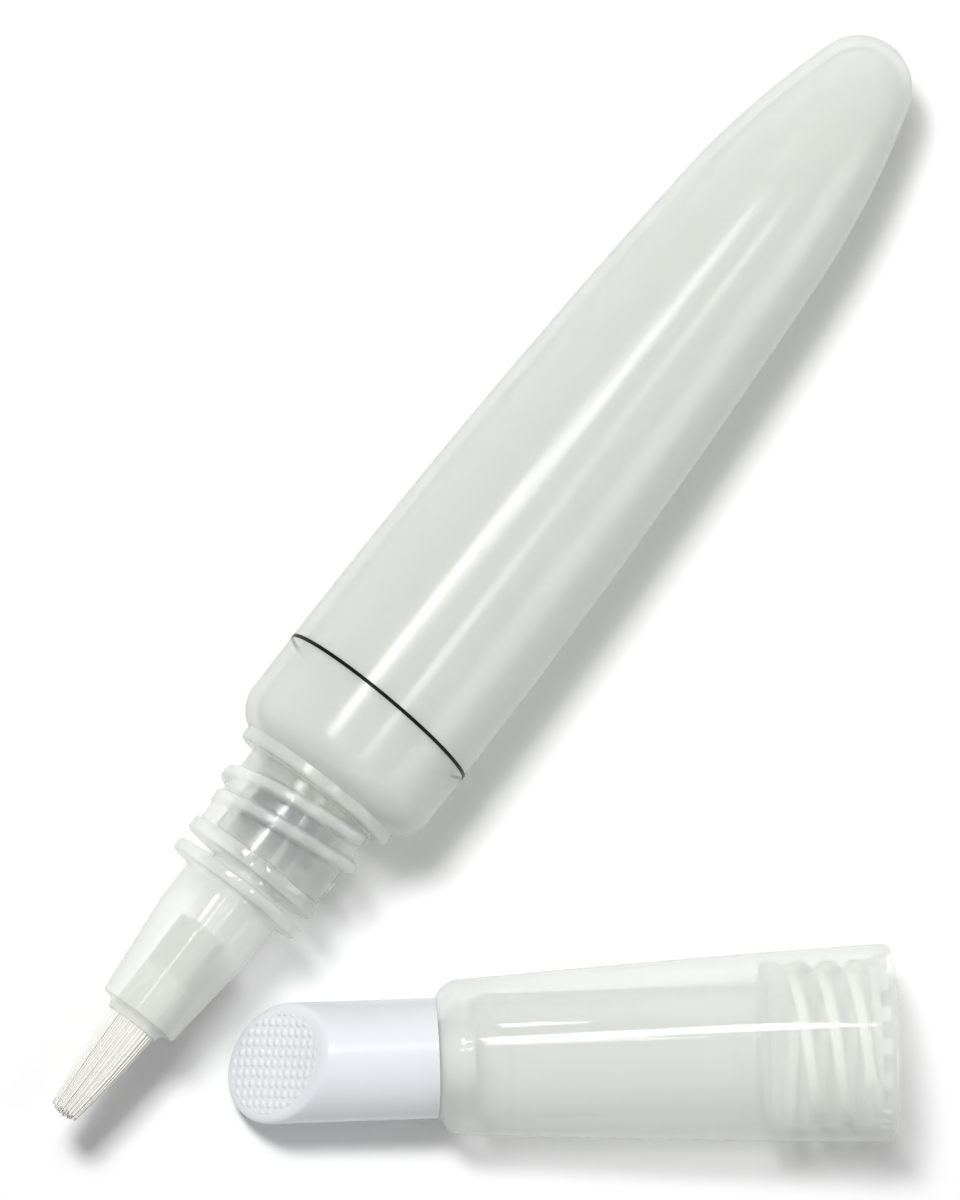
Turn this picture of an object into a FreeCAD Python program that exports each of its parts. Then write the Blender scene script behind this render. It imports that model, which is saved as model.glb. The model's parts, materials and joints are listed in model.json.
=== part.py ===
"""Squeeze pen for nail oil: bullet-shaped barrel with a brush nozzle, and a screw cap with a cuticle pusher.

The pen lies on its side with the cap taken off and laid beside it. Every piece is modelled along its own X
axis and then placed. On the pen, X starts at the end face of the neck and points to the closed end of the
barrel. On the cap, X starts at the rim and points out of the mouth.
"""
import FreeCAD, Part
import math
import os
import re
import Sketcher

# Driving sizes in millimetres, angles in degrees, each written once.
SIZES = {
    # barrel: a drop whose shoulder, side, nose and tip follow four arcs in straight runs, with the starts of
    # nose and tip counted back from the closed end
    "barrel_radius": 8.8,
    "barrel_wall": 0.9,
    "barrel_tip": 82.6,
    "belly_place": 16.0,
    "side_radius": 650.0,
    "nose_start": 18.6,
    "nose_radius": 70.0,
    "tip_start": 3.0,
    "shoulder_round": 3.0,
    "side_runs": 2,
    "round_runs": 2,
    "hollow_straight_end": 46.0,
    # neck of the common 13 mm screw finish
    "neck_radius": 5.75,
    "neck_bore": 4.4,
    "neck_length": 7.1,
    "bead_radius": 7.15,
    "bead_width": 1.0,
    # nozzle fitment, from its plug in the neck to the brush hole
    "plug_length": 5.9,
    "plug_wall": 0.85,
    "plug_clearance": 0.02,
    "collar_radius": 6.05,
    "collar_thickness": 1.18,
    "groove_width": 1.0,
    "groove_core": 3.1,
    "flange_radius": 6.0,
    "flange_thickness": 1.0,
    "nozzle_radius": 4.3,
    "nozzle_straight": 3.7,
    "cone_length": 8.56,
    "cone_tip_radius": 3.42,
    "brush_bore": 2.2,
    "oil_channel": 1.2,
    "web_thickness": 0.4,
    # plug that meters the oil
    "reducer_place": 1.84,
    "reducer_length": 3.4,
    "reducer_orifice": 0.6,
    # brush
    "ferrule_length": 4.5,
    "ferrule_wall": 0.4,
    "brush_clearance": 0.05,
    "brush_reach": 10.0,
    "brush_tip_radius": 1.25,
    # oil
    "oil_gap": 0.05,
    # cap
    "cap_length": 36.5,
    "cap_mouth_radius": 7.95,
    "cap_taper": 2.94,
    "cap_thread_bore": 6.72,
    "cap_end_wall": 3.0,
    "cap_end_chamfer": 2.6,
    "cap_room_radius": 5.0,
    "cap_seal_gap": 0.05,
    # cuticle pusher
    "pusher_radius": 4.8,
    "pusher_length": 16.7,
    "pusher_stem": 3.0,
    "pusher_clearance": 0.02,
    "pusher_slant": 51.6,
    "pusher_edge": 0.5,
    # how the pieces lie
    "pen_heading": 50.0,
    "cap_roll": -16.0,
    "neck_from_mouth_x": -50.5,
    "neck_from_mouth_y": 16.1,
}

doc = FreeCAD.newDocument("NailOilPen")
sheet = doc.addObject("Spreadsheet::Sheet", "Sizes")
for row, (name, value) in enumerate(SIZES.items(), start=1):
    sheet.set(f"A{row}", name)
    sheet.set(f"B{row}", str(value))
    sheet.setAlias(f"B{row}", name)
doc.recompute()

ALIAS = re.compile(r"\b(" + "|".join(SIZES) + r")\b")

# Places that pieces share, along the pen from the neck's end face.
FLANGE_FACE = "-(collar_thickness + groove_width + flange_thickness)"
BRUSH_SEAT = f"({FLANGE_FACE} - nozzle_straight)"
NOZZLE_TIP = f"({BRUSH_SEAT} - cone_length)"
# Depth in the cap, behind its rim, of the step that meets the nozzle's flange when the rim is on the bead.
SEAL_DEPTH = f"(neck_length - ({FLANGE_FACE}) + cap_seal_gap)"

# Arcs of the barrel's outline, each as the place and height of its centre and its radius. The side runs into
# the nose without a corner, and the shoulder's arc leaves the top of the bead.
NOSE_PLACE = "(barrel_tip - nose_start)"
NOSE_LEAN = f"(({NOSE_PLACE} - belly_place) / side_radius)"
SIDE_ARC = ("belly_place", "(barrel_radius - side_radius)", "side_radius")
NOSE_ARC = (
    f"(belly_place + (side_radius - nose_radius) * {NOSE_LEAN})",
    f"(barrel_radius - side_radius + (side_radius - nose_radius) * sqrt(1 - {NOSE_LEAN}^2))",
    "nose_radius",
)
TIP_PLACE = "(barrel_tip - tip_start)"
SHOULDER_RISE = "(bead_radius - barrel_radius + shoulder_round)"
SHOULDER_PLACE = f"(neck_length + bead_width + sqrt(shoulder_round^2 - {SHOULDER_RISE}^2))"


def bound(text):
    """The expression for a size written with the sheet's own words."""
    return ALIAS.sub(r"Sizes.\1", text)


def number(text):
    """What that expression comes to now."""
    return float(sheet.evalExpression(bound(text)))


def size(name):
    return float(sheet.get(name))


def new_body(label):
    body = doc.addObject("PartDesign::Body", label)
    body.Label = label
    return body


def new_sketch(body, name):
    """A sketch on the plane through the piece's axis."""
    sketch = body.newObject("Sketcher::SketchObject", name)
    plane = next(item for item in body.Origin.OriginFeatures if item.Role == "XZ_Plane")
    sketch.AttachmentSupport = [(plane, "")]
    sketch.MapMode = "FlatFace"
    return sketch


def set_size(sketch, kind, places, text):
    """One dimension of a sketch, bound to the sheet."""
    index = sketch.addConstraint(Sketcher.Constraint(kind, *places, number(text)))
    sketch.setExpression(f"Constraints[{index}]", bound(text))


def set_point(sketch, line, across, up):
    """Hold the start of a sketch line at its distances from the sketch's origin."""
    set_size(sketch, "DistanceX", (-1, 1, line, 1), across)
    if up == "0":
        sketch.addConstraint(Sketcher.Constraint("PointOnObject", line, 1, -1))
    else:
        set_size(sketch, "DistanceY", (-1, 1, line, 1), up)


def outline(sketch, corners):
    """A closed outline of straight lines through corners (across, up)."""
    points = [FreeCAD.Vector(number(across), number(up), 0) for across, up in corners]
    lines = []
    for start, finish in zip(points, points[1:] + points[:1]):
        lines.append(sketch.addGeometry(Part.LineSegment(start, finish)))
    for line, following in zip(lines, lines[1:] + lines[:1]):
        sketch.addConstraint(Sketcher.Constraint("Coincident", line, 2, following, 1))
    for line, (across, up) in zip(lines, corners):
        set_point(sketch, line, across, up)


def turned(body, name, sketch):
    """Turn an outline about the piece's own axis."""
    feature = body.newObject("PartDesign::Revolution", name)
    feature.Profile = sketch
    feature.ReferenceAxis = (sketch, ["H_Axis"])
    feature.Angle = 360.0
    doc.recompute()
    return feature


def round_corners(across, up, radius, first, last, runs):
    """Corners of straight runs round an arc, from one angle to another in degrees."""
    corners = []
    for run in range(runs + 1):
        angle = f"(({first}) + (({last}) - ({first})) * {run} / {runs}) * 1deg"
        corners.append((f"{across} + ({radius}) * cos({angle})", f"{up} + ({radius}) * sin({angle})"))
    return corners


def arc_height(arc, across):
    """How far from the axis a long arc stands at a place along it."""
    place, height, radius = arc
    return f"({height} + sqrt({radius}^2 - ({across} - {place})^2))"


def long_corners(arc, first, last, runs):
    """Corners of straight runs along a long arc, at even steps along the axis."""
    corners = []
    for run in range(runs + 1):
        across = f"({first} + ({last} - {first}) * {run} / {runs})"
        corners.append((across, arc_height(arc, across)))
    return corners


def drop_corners():
    """The barrel's outline from the foot of the shoulder to the start of the tip's last run."""
    runs = int(size("round_runs"))
    shoulder = round_corners(SHOULDER_PLACE, "(barrel_radius - shoulder_round)", "shoulder_round",
                             f"180 - asin({SHOULDER_RISE} / shoulder_round) / 1deg", "90", runs)
    side = long_corners(SIDE_ARC, SHOULDER_PLACE, NOSE_PLACE, int(size("side_runs")))
    nose = long_corners(NOSE_ARC, NOSE_PLACE, TIP_PLACE, runs)
    tip_height = arc_height(NOSE_ARC, TIP_PLACE)
    tip_radius = f"((tip_start^2 + {tip_height}^2) / (2 * tip_start))"
    tip = round_corners(f"barrel_tip - {tip_radius}", "0", tip_radius,
                        f"asin({tip_height} / {tip_radius}) / 1deg", "0", runs)
    return shoulder[:-1] + side[:-1] + nose[:-1] + tip[:-1]


# The straight stretch of the barrel's hollow leaves the wall its thickness where that stretch ends.
HOLLOW_RADIUS = f"({arc_height(SIDE_ARC, 'hollow_straight_end')} - barrel_wall)"


def squeeze_barrel():
    """Hollow drop with a neck; the bead under the shoulder stops the cap's rim."""
    body = new_body("squeeze_barrel")
    sketch = new_sketch(body, "barrel_section")
    outline(sketch, [
        ("0", "neck_bore"),
        ("0", "neck_radius"),
        ("neck_length", "neck_radius"),
        ("neck_length", "bead_radius"),
        *drop_corners(),
        ("barrel_tip", "0"),
        ("barrel_tip - barrel_wall", "0"),
        (TIP_PLACE, f"{arc_height(NOSE_ARC, TIP_PLACE)} - barrel_wall"),
        (NOSE_PLACE, f"{arc_height(NOSE_ARC, NOSE_PLACE)} - barrel_wall"),
        ("hollow_straight_end", HOLLOW_RADIUS),
        (SHOULDER_PLACE, HOLLOW_RADIUS),
        ("neck_length + bead_width + barrel_wall", "neck_bore"),
    ])
    turned(body, "barrel_turning", sketch)
    return body


def brush_nozzle():
    """Turned fitment: skirt in the neck, collar, ring groove, sealing flange, cylinder and drilled cone."""
    body = new_body("brush_nozzle")
    sketch = new_sketch(body, "nozzle_section")
    plug = "neck_bore - plug_clearance"
    skirt = f"{plug} - plug_wall"
    groove_back = "-(collar_thickness + groove_width)"
    outline(sketch, [
        ("plug_length", skirt),
        ("plug_length", plug),
        ("0", plug),
        ("0", "collar_radius"),
        ("-collar_thickness", "collar_radius"),
        ("-collar_thickness", "groove_core"),
        (groove_back, "groove_core"),
        (groove_back, "flange_radius"),
        (FLANGE_FACE, "flange_radius"),
        (FLANGE_FACE, "nozzle_radius"),
        (BRUSH_SEAT, "nozzle_radius"),
        (NOZZLE_TIP, "cone_tip_radius"),
        (NOZZLE_TIP, "brush_bore"),
        (BRUSH_SEAT, "brush_bore"),
        (BRUSH_SEAT, "oil_channel"),
        ("web_thickness", "oil_channel"),
        ("web_thickness", skirt),
    ])
    turned(body, "nozzle_turning", sketch)
    return body


def flow_reducer():
    """Short plug pressed into the nozzle's skirt, with a fine hole."""
    body = new_body("flow_reducer")
    sketch = new_sketch(body, "reducer_section")
    rim = "neck_bore - plug_clearance - plug_wall - plug_clearance"
    inner_end = "reducer_place + reducer_length"
    outline(sketch, [
        ("reducer_place", "reducer_orifice"),
        ("reducer_place", rim),
        (inner_end, rim),
        (inner_end, "reducer_orifice"),
    ])
    turned(body, "reducer_turning", sketch)
    return body


def brush_ferrule():
    """Sleeve that grips the root of the brush, at the bottom of the nozzle's brush hole."""
    body = new_body("brush_ferrule")
    sketch = new_sketch(body, "ferrule_section")
    outside = "brush_bore - plug_clearance"
    front = f"{BRUSH_SEAT} - ferrule_length"
    outline(sketch, [
        (BRUSH_SEAT, f"{outside} - ferrule_wall"),
        (BRUSH_SEAT, outside),
        (front, outside),
        (front, f"{outside} - ferrule_wall"),
    ])
    turned(body, "ferrule_turning", sketch)
    return body


def bristles():
    """The bundle of filaments: gripped in the ferrule, filling the hole, then tapering to a blunt tip."""
    body = new_body("bristles")
    sketch = new_sketch(body, "bristle_section")
    root = "brush_bore - plug_clearance - ferrule_wall - plug_clearance"
    full = "brush_bore - brush_clearance"
    grip = f"{BRUSH_SEAT} - ferrule_length - brush_clearance"
    tip = f"{NOZZLE_TIP} - brush_reach"
    outline(sketch, [
        (BRUSH_SEAT, "0"),
        (BRUSH_SEAT, root),
        (grip, root),
        (grip, full),
        (NOZZLE_TIP, full),
        (tip, "brush_tip_radius"),
        (tip, "0"),
    ])
    turned(body, "bristle_turning", sketch)
    return body


def oil_fill():
    """The oil, as a plain core in the straight stretch of the barrel's hollow."""
    body = new_body("oil_fill")
    sketch = new_sketch(body, "oil_section")
    surface = f"{HOLLOW_RADIUS} - oil_gap"
    outline(sketch, [
        (SHOULDER_PLACE, "0"),
        (SHOULDER_PLACE, surface),
        ("hollow_straight_end", surface),
        ("hollow_straight_end", "0"),
    ])
    turned(body, "oil_turning", sketch)
    return body


def cap_outside(depth):
    """Radius of the cap's tapered side at a depth behind the rim."""
    return f"(cap_mouth_radius - ({depth}) * tan(cap_taper * 1deg))"


def cap_shell():
    """Tapered cup: bore for the neck, a step that seals on the nozzle's flange, then room for the brush."""
    body = new_body("cap_shell")
    sketch = new_sketch(body, "cap_section")
    floor = "cap_length - cap_end_wall"
    side_end = "cap_length - cap_end_chamfer"
    outline(sketch, [
        ("0", "cap_thread_bore"),
        ("0", "cap_mouth_radius"),
        (f"-({side_end})", cap_outside(side_end)),
        ("-cap_length", "pusher_radius"),
        ("-cap_length", "pusher_stem"),
        (f"-({floor})", "pusher_stem"),
        (f"-({floor})", "cap_room_radius"),
        (f"-{SEAL_DEPTH}", "cap_room_radius"),
        (f"-{SEAL_DEPTH}", "cap_thread_bore"),
    ])
    turned(body, "cap_turning", sketch)
    return body


def cuticle_pusher():
    """Round tip cut at a slant, with a softened edge and a stem plugged through the end wall of the cap."""
    body = new_body("cuticle_pusher")
    sketch = new_sketch(body, "pusher_section")
    stem = "pusher_stem - pusher_clearance"
    foot = "-cap_length"
    tip = "-(cap_length + pusher_length)"
    outline(sketch, [
        ("-(cap_length - cap_end_wall)", "0"),
        ("-(cap_length - cap_end_wall)", stem),
        (foot, stem),
        (foot, "pusher_radius"),
        (tip, "pusher_radius"),
        (tip, "0"),
    ])
    blank = turned(body, "pusher_blank", sketch)
    before = blank.Shape.Volume
    slant = new_sketch(body, "slant_cut")
    run = "2 * pusher_radius / tan(pusher_slant * 1deg)"
    outline(slant, [
        (tip, "-pusher_radius"),
        (f"{tip} + {run}", "pusher_radius"),
        (tip, "pusher_radius"),
    ])
    cut = body.newObject("PartDesign::Pocket", "pusher_slant_face")
    cut.Profile = slant
    cut.Type = "ThroughAll"
    cut.Midplane = True
    doc.recompute()
    if cut.Shape.Volume >= before:
        raise RuntimeError("the slant cut of the pusher removed nothing")
    rim = [f"Edge{place}" for place, edge in enumerate(cut.Shape.Edges, start=1)
           if edge.Curve.TypeId == "Part::GeomEllipse"]
    soft = body.newObject("PartDesign::Chamfer", "pusher_soft_edge")
    soft.Base = (cut, rim)
    soft.setExpression("Size", bound("pusher_edge"))
    doc.recompute()
    return body


def lay_down(pen_pieces, cap_pieces):
    """Rest the pen on the run of its side that it balances on, and the cap on its taper, and centre both."""
    side = [FreeCAD.Vector(number(across), number(up), 0)
            for across, up in long_corners(SIDE_ARC, SHOULDER_PLACE, NOSE_PLACE, int(size("side_runs")))]
    moment = sum(piece.Shape.Volume * piece.Shape.CenterOfGravity.x for piece in pen_pieces)
    balance = moment / sum(piece.Shape.Volume for piece in pen_pieces)
    first, last = next(ends for ends in zip(side, side[1:]) if ends[1].x > balance)
    tilt = math.atan2(first.y - last.y, last.x - first.x)
    pen = FreeCAD.Placement(
        FreeCAD.Vector(size("neck_from_mouth_x"), size("neck_from_mouth_y"),
                       first.y * math.cos(tilt) + first.x * math.sin(tilt)),
        FreeCAD.Rotation(size("pen_heading"), math.degrees(tilt), 0))
    cap = FreeCAD.Placement(
        FreeCAD.Vector(0, 0, size("cap_mouth_radius") * math.cos(math.radians(size("cap_taper")))),
        FreeCAD.Rotation(0, -size("cap_taper"), size("cap_roll")))
    for placement, pieces in ((pen, pen_pieces), (cap, cap_pieces)):
        for piece in pieces:
            piece.Placement = placement
    doc.recompute()
    box = FreeCAD.BoundBox()
    for piece in pen_pieces + cap_pieces:
        box.add(piece.Shape.optimalBoundingBox())
    shift = FreeCAD.Vector(-box.Center.x, -box.Center.y, 0)
    for piece in pen_pieces + cap_pieces:
        piece.Placement = FreeCAD.Placement(shift, FreeCAD.Rotation()).multiply(piece.Placement)
    doc.recompute()
    print("neck end", pen_pieces[0].Placement.Base, "cap rim", cap_pieces[0].Placement.Base)
    print("box", box.XLength, box.YLength, box.ZLength, "lowest", box.ZMin)


def check_and_write(pieces):
    """Stop on any failed object; otherwise write one file for each piece."""
    for item in doc.Objects:
        if "Invalid" in item.State or "Error" in item.State:
            raise RuntimeError(f"{item.Label} failed: {item.State}")
    for piece in pieces:
        if piece.Shape.isNull() or not piece.Shape.isValid():
            raise RuntimeError(f"{piece.Label} has no sound shape")
    os.makedirs("parts", exist_ok=True)
    for piece in pieces:
        piece.Shape.exportStep(f"parts/{piece.Label}.step")
        print(piece.Label, len(piece.Shape.Solids), "solid", round(piece.Shape.Volume, 2), "mm3")


pen_group = [squeeze_barrel(), brush_nozzle(), flow_reducer(), brush_ferrule(), bristles(), oil_fill()]
cap_group = [cap_shell(), cuticle_pusher()]
lay_down(pen_group, cap_group)
check_and_write(pen_group + cap_group)
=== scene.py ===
# %% [markdown]
# # A squeeze pen for nail oil, beside its cap
# The pen is a milky, bullet-shaped squeeze barrel with a brush nozzle on its screw neck. Its cap lies
# next to it, and carries a soft cuticle pusher on its closed end. Nearly every piece is round, so the
# lesson is mostly about turning outlines, and about giving thin, cloudy plastic the look of cloudy
# plastic.

# %% Load the fixed frame
import json
import math
import random
import bmesh
import bpy
from mathutils import Matrix, Vector


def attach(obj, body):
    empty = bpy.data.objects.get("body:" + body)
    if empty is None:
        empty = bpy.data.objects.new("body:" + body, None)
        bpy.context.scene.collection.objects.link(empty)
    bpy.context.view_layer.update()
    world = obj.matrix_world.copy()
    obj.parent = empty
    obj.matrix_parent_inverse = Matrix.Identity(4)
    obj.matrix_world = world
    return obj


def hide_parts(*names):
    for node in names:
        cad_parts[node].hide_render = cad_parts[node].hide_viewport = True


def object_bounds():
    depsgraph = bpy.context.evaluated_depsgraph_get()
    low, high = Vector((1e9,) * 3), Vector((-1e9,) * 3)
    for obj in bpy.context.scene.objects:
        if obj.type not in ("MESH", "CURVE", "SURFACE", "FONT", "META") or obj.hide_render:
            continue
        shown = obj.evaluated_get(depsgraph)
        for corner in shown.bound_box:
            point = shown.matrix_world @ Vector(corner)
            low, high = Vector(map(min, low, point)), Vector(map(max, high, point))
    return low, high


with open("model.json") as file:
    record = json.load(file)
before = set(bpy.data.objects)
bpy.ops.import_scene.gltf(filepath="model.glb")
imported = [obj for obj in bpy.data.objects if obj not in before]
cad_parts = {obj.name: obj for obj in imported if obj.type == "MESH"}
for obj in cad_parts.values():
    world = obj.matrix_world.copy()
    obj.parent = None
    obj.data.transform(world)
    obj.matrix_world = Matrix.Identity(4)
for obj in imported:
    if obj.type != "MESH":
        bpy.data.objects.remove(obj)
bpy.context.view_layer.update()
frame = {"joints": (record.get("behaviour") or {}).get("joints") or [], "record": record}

# %% [markdown]
# ## Two axes to build on
# Every piece is turned about the pen's axis or the cap's. The record holds both: the neck is a mount and
# the cap turns on a joint. A matrix from millimetres along such an axis to metres in the scene lets every
# outline below be written in the sizes that one would measure with a caliper.

# %% Axes of the pen and of the cap
MM = 0.001
NECK_LENGTH = 7.1
CAP_ROLL = -16.0


def axis_frame(origin, axis, roll=0.0):
    """From millimetres along a piece's own axis, with the third axis near to upright, to the scene."""
    along = Vector(axis).normalized()
    side = Vector((0, 0, 1)).cross(along).normalized()
    turn = Matrix((along, side, along.cross(side))).transposed().to_4x4()
    spin = Matrix.Rotation(math.radians(roll), 4, "X")
    return Matrix.Translation(origin) @ turn @ spin @ Matrix.Scale(MM, 4)


neck_mount = next(m for m in frame["record"]["mounts"] if m["name"] == "neck_finish")
cap_joint = next(j for j in frame["joints"] if j["name"] == "cap_turn")
to_brush = Vector(neck_mount["axis"]).normalized()
PEN = axis_frame(Vector(neck_mount["pos_m"]) + to_brush * (NECK_LENGTH / 2 * MM), -to_brush)
CAP = axis_frame(Vector(cap_joint["pos_m"]), cap_joint["axis"], CAP_ROLL)
print("pen starts at", PEN.translation, "cap's rim at", CAP.translation)

# %% [markdown]
# ## The camera
# The photograph looks nearly straight down through a long lens, a little from the left and turned by two
# degrees. A long lens keeps parallel edges parallel. The distance is free, and the lens follows from it
# and from how many pixels of the picture a millimetre takes.

# %% Camera
PICTURE_HEIGHT = 1200
PIXELS_PER_MM = 12.59
CAMERA_DISTANCE = 1200.0
CAMERA_LEFT = 7.0
CAMERA_DOWN = 0.5
CAMERA_ROLL = -1.88
AIM = Vector((-0.09, 0.08, 8.5))

lens = bpy.data.cameras.new("camera")
lens.sensor_fit = "VERTICAL"
lens.lens = lens.sensor_height * PIXELS_PER_MM * CAMERA_DISTANCE / PICTURE_HEIGHT
camera = bpy.data.objects.new("camera", lens)
bpy.context.scene.collection.objects.link(camera)
away = Vector((-math.sin(math.radians(CAMERA_LEFT)), -math.sin(math.radians(CAMERA_DOWN)), 0))
away.z = math.sqrt(1 - away.length_squared)
across = Vector((0, 1, 0)).cross(away).normalized()
looking = Matrix((across, away.cross(across), away)).transposed().to_4x4()
camera.matrix_world = (Matrix.Translation((AIM + away * CAMERA_DISTANCE) * MM) @ looking
                       @ Matrix.Rotation(math.radians(CAMERA_ROLL), 4, "Z"))
bpy.context.scene.camera = camera
print("lens", round(lens.lens), "mm")

# %% [markdown]
# ## Outlines with rounded corners
# Moulded pieces have no sharp corners, because neither the mould nor the plastic can hold them. So an
# outline is a list of corners, each with a radius, and one function puts the small arcs in. A bevel
# modifier would round a finished mesh too, but here the outline is known before the mesh is.


# %% Arcs and rounded outlines
def arc(along, out, radius, first, last, steps):
    """Points round a centre, from one angle to another in degrees."""
    angles = [math.radians(first + (last - first) * step / steps) for step in range(steps + 1)]
    return [(along + radius * math.cos(angle), out + radius * math.sin(angle)) for angle in angles]


ARC_STEPS = 5
QUARTER_TURN = 90
HALF_TURN = 180
FULL_TURN = 360


def rounded(corners, closed=True, steps=ARC_STEPS):
    """An outline through corners (along, out, radius), each rounded by its radius."""
    points = []
    for place, (along, out, radius) in enumerate(corners):
        corner = Vector((along, out))
        inner = closed or 0 < place < len(corners) - 1
        if not radius or not inner:
            points.append((along, out))
            continue
        before = Vector(corners[place - 1][:2]) - corner
        after = Vector(corners[(place + 1) % len(corners)][:2]) - corner
        half = before.angle(after) / 2
        centre = corner + (before.normalized() + after.normalized()).normalized() * radius / math.sin(half)
        start = corner + before.normalized() * radius / math.tan(half) - centre
        finish = corner + after.normalized() * radius / math.tan(half) - centre
        first = math.degrees(math.atan2(start.y, start.x))
        sweep = (math.degrees(math.atan2(finish.y, finish.x)) - first + HALF_TURN) % FULL_TURN - HALF_TURN
        points += arc(centre.x, centre.y, radius, first, first + sweep, steps)
    return points


def divided(points, longest):
    """The same outline with no run longer than a given length."""
    fine = [points[0]]
    for start, finish in zip(points, points[1:]):
        runs = math.ceil(math.dist(start, finish) / longest)
        for run in range(1, runs + 1):
            fine.append(tuple(a + (b - a) * run / runs for a, b in zip(start, finish)))
    return fine


# %% [markdown]
# ## Turning an outline
# A lathe turns a bar against a tool; this one carries an outline round an axis in equal steps and sews
# the copies together. An outline that ends on the axis closes in a point there, and one that comes back
# to its start gives a hollow ring. A shape function may change a point at each angle, which is how screw
# threads and notches are cut into the same watertight skin. Uncoloured plastic is cloudier where there is
# more of it, so each point may also carry a number for how much of the view it blocks, which the plastics
# read further down.


# %% Lathe
SHARP_DEGREES = 38
NO_RADIUS = 1e-6
SEGMENTS = 192
FINE_SEGMENTS = 256
COARSE_SEGMENTS = 128


def turned(name, outline, place, around=SEGMENTS, closed=False, shape=None, cloud=None):
    """Turn an outline of (along, out) points in millimetres about an axis, into one smooth mesh."""
    points = []
    clouds = []
    rows = []
    for along, out in outline:
        first = len(points)
        if out < NO_RADIUS:
            points.append((along, 0, 0))
            clouds.append(cloud(along, out, out) if cloud else 1.0)
            rows.append([first] * around)
            continue
        for step in range(around):
            angle = math.tau * step / around
            x, radius = shape(along, out, angle) if shape else (along, out)
            points.append((x, radius * math.cos(angle), radius * math.sin(angle)))
            clouds.append(cloud(along, out, radius) if cloud else 1.0)
        rows.append(list(range(first, first + around)))
    faces = []
    for row, following in zip(rows, rows[1:] + rows[:1] if closed else rows[1:]):
        for step in range(around):
            ahead = (step + 1) % around
            corners = dict.fromkeys((row[step], row[ahead], following[ahead], following[step]))
            if len(corners) > 2:
                faces.append(tuple(corners))
    thing = piece(name, points, faces, place)
    thing.data.attributes.new("cloud", "FLOAT", "POINT").data.foreach_set("value", clouds)
    return thing


def piece(name, points, faces, place):
    """A mesh object from points in millimetres, with its normals outwards and its corners kept."""
    mesh = bpy.data.meshes.new(name)
    mesh.from_pydata(points, [], faces)
    mesh.transform(place)
    skin = bmesh.new()
    skin.from_mesh(mesh)
    bmesh.ops.recalc_face_normals(skin, faces=skin.faces)
    skin.to_mesh(mesh)
    skin.free()
    mesh.shade_smooth()
    mesh.set_sharp_from_angle(angle=math.radians(SHARP_DEGREES))
    thing = bpy.data.objects.new(name, mesh)
    bpy.context.scene.collection.objects.link(thing)
    print(name, len(points), "points")
    return thing


# %% [markdown]
# ## Screw threads
# The neck is the common 13 mm finish with two thread starts: two ridges, half a turn apart, each climbing
# 4.68 mm in a turn, so that less than one turn shuts the cap. The ridge is a function of place and angle,
# and runs out softly at both ends, as the milled groove of the mould does.

# %% Thread form
THREAD_LEAD = 4.68
THREAD_STARTS = 2
THREAD_FOOT = 1.5
THREAD_CREST = 0.6
THREAD_FADE = 0.06


def smooth(share):
    """A share from 0 to 1, eased in and out."""
    return share * share * (3 - 2 * share)


def thread_lift(along, angle, begin, turns):
    """How far up a thread's ridge a point lies, from 0 at its foot to 1 on its crest."""
    lift = 0.0
    for start in range(THREAD_STARTS):
        shift = angle / math.tau + start / THREAD_STARTS
        nearest = round((along - begin) / THREAD_LEAD - shift) + shift
        off = abs(along - begin - THREAD_LEAD * nearest)
        flank = (THREAD_FOOT / 2 - off) / ((THREAD_FOOT - THREAD_CREST) / 2)
        ends = min(nearest, turns - nearest) / THREAD_FADE
        lift = max(lift, min(1.0, flank, ends))
    return smooth(lift)


# %% [markdown]
# ## The squeeze barrel
# A blown bottle in natural, uncoloured polyethylene: a neck, a bead that stops the cap, a short shoulder,
# and a side that swells by a hair before it runs into the nose. The side is part of a very large circle,
# the nose of a smaller one, and a ball closes the end. Moving all circles inwards by the wall gives the
# hollow, and the wall is what makes the edges of such plastic look denser than its middle.

# %% Barrel sizes
# In millimetres; places count along the pen from the end of its neck towards its closed end.
BARREL_RADIUS = 8.8
BARREL_WALL = 0.9
BARREL_TIP = 82.6
BELLY = 16.0
SIDE_RADIUS = 650.0
NOSE_LENGTH = 18.6
NOSE_RADIUS = 70.0
SHOULDER_ROUND = 3.0
NECK_RADIUS = 5.75
NECK_BORE = 4.4
BEAD_RADIUS = 7.15
BEAD_WIDTH = 1.0
CREST_RADIUS = 6.53
NECK_THREAD_BEGIN = 1.9
NECK_THREAD_TURNS = 0.95
FINE_STEP = 0.09
EDGE_ROUND = 0.2
ROOT_ROUND = 0.3
BORE_ROUND = 0.15
FUNNEL_ROUND = 1.2
SHOULDER_INSIDE = 150
TIP_STEPS = 14
SIDE_STEPS = 24
SHOULDER_STEPS = 10

# %% Circles that make up the barrel's outline
lean = math.asin((BARREL_TIP - NOSE_LENGTH - BELLY) / SIDE_RADIUS)
nose_end = QUARTER_TURN - math.degrees(lean)
side_centre = (BELLY, BARREL_RADIUS - SIDE_RADIUS)
nose_centre = (BELLY + (SIDE_RADIUS - NOSE_RADIUS) * math.sin(lean),
               BARREL_RADIUS - SIDE_RADIUS + (SIDE_RADIUS - NOSE_RADIUS) * math.cos(lean))
nose_reach = BARREL_TIP - nose_centre[0]
tip_radius = (NOSE_RADIUS ** 2 - nose_reach ** 2 - nose_centre[1] ** 2) / (2 * (NOSE_RADIUS - nose_reach))
tip_centre = BARREL_TIP - tip_radius
tip_join = math.degrees(math.atan2(-nose_centre[1], tip_centre - nose_centre[0]))
shoulder_rise = math.asin((BEAD_RADIUS - BARREL_RADIUS + SHOULDER_ROUND) / SHOULDER_ROUND)
shoulder_place = NECK_LENGTH + BEAD_WIDTH + SHOULDER_ROUND * math.cos(shoulder_rise)
side_end = QUARTER_TURN + math.degrees(math.asin((BELLY - shoulder_place) / SIDE_RADIUS))
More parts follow.
